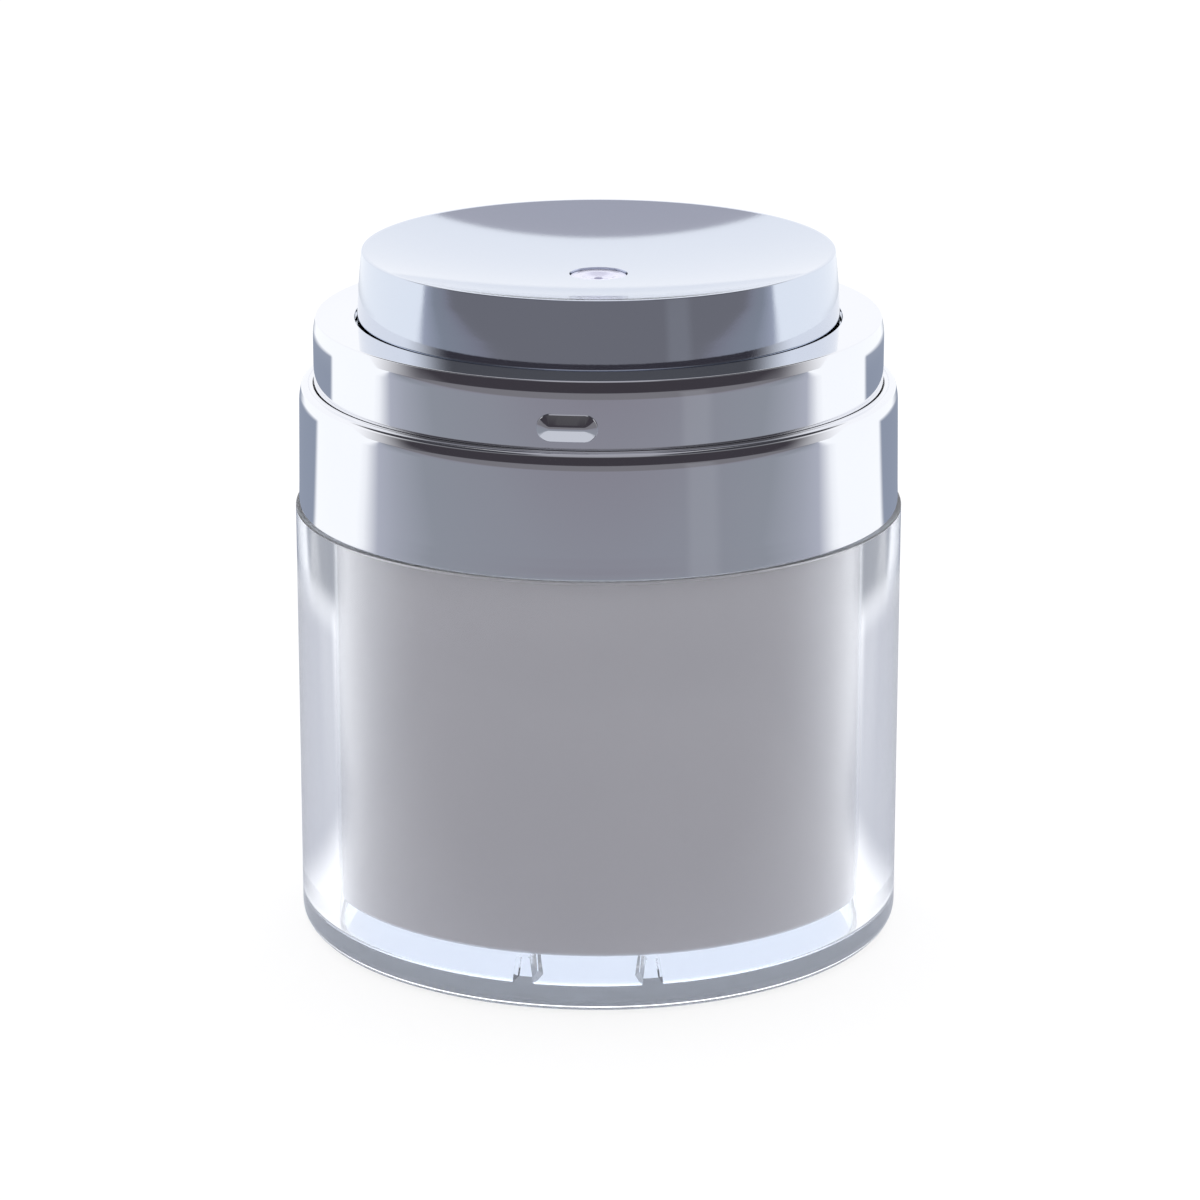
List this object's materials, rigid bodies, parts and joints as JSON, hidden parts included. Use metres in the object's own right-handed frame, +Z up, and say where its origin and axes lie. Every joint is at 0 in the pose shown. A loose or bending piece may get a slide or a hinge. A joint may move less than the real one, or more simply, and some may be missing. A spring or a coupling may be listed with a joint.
{
  "type": "airless pump jar",
  "caption": "Airless cosmetic jar with a clear outer wall, a pearl grey inner cup, a dished press plate, an internal piston pump and a bright screw-down collar.",
  "frame": {"origin": "middle of the jar's foot ring, on the surface that it stands on", "axes": "+Z up along the jar's axis, -Y towards the front of the picture, +X to its right"},
  "size_m": [0.064, 0.064, 0.0731],
  "materials": {
    "clear_acrylic": "clear, polished",
    "white_polypropylene": "soft sheen",
    "pearl_grey_polypropylene": "pearl sheen",
    "natural_polyethylene": "waxy",
    "grey_seal": "matt foam",
    "spring_steel": "drawn wire",
    "satin_silver": "satin anodised",
    "bright_silver": "polished, mirror-like",
    "outlet_pearl": "soft gloss"
  },
  "bodies": {
    "jar": {"outer_jar": "clear_acrylic", "inner_cup": "pearl_grey_polypropylene"},
    "follower": {"follower_piston": "natural_polyethylene"},
    "pump_head": {"pump_deck": "white_polypropylene", "cup_gasket": "grey_seal", "housing_gasket": "grey_seal", "pump_housing": "white_polypropylene", "stem_guide": "white_polypropylene", "return_spring": "spring_steel"},
    "collar": {"collar_core": "white_polypropylene", "neck_sleeve": "bright_silver", "shoulder_band": "bright_silver"},
    "plunger": {"stem": "white_polypropylene", "pump_piston": "natural_polyethylene", "plate_core": "white_polypropylene", "nozzle_tip": "outlet_pearl", "press_plate": "satin_silver"},
    "inlet": {"inlet_valve": "natural_polyethylene"},
    "outlet": {"outlet_valve": "natural_polyethylene"}
  },
  "joints": [
    {"name": "head_lift", "type": "slide", "parent": "jar", "child": "pump_head", "axis": [0, 0, 1], "range_m": [0, 0.00375]},
    {"name": "collar_turn", "type": "hinge", "parent": "pump_head", "child": "collar", "pos_m": [0, 0, 0.0483], "axis": [0, 0, 1], "range_deg": [0, 450]},
    {"name": "press_stroke", "type": "slide", "parent": "pump_head", "child": "plunger", "axis": [0, 0, -1], "range_m": [0, 0.0042], "stiffness_N_per_m": 300, "springref_m": -0.008, "deforming": ["return_spring"]},
    {"name": "follower_rise", "type": "slide", "parent": "jar", "child": "follower", "axis": [0, 0, 1], "range_m": [0, 0.0242]},
    {"name": "inlet_lift", "type": "slide", "parent": "pump_head", "child": "inlet", "axis": [0, 0, 1], "range_m": [0, 0.0008]},
    {"name": "outlet_open", "type": "slide", "parent": "plunger", "child": "outlet", "axis": [0, 0, 1], "range_m": [0, 0.0005]}
  ],
  "couplings": [
    {"joint": "collar_turn", "follows": "head_lift", "rad_per_m": 2094.4}
  ]
}
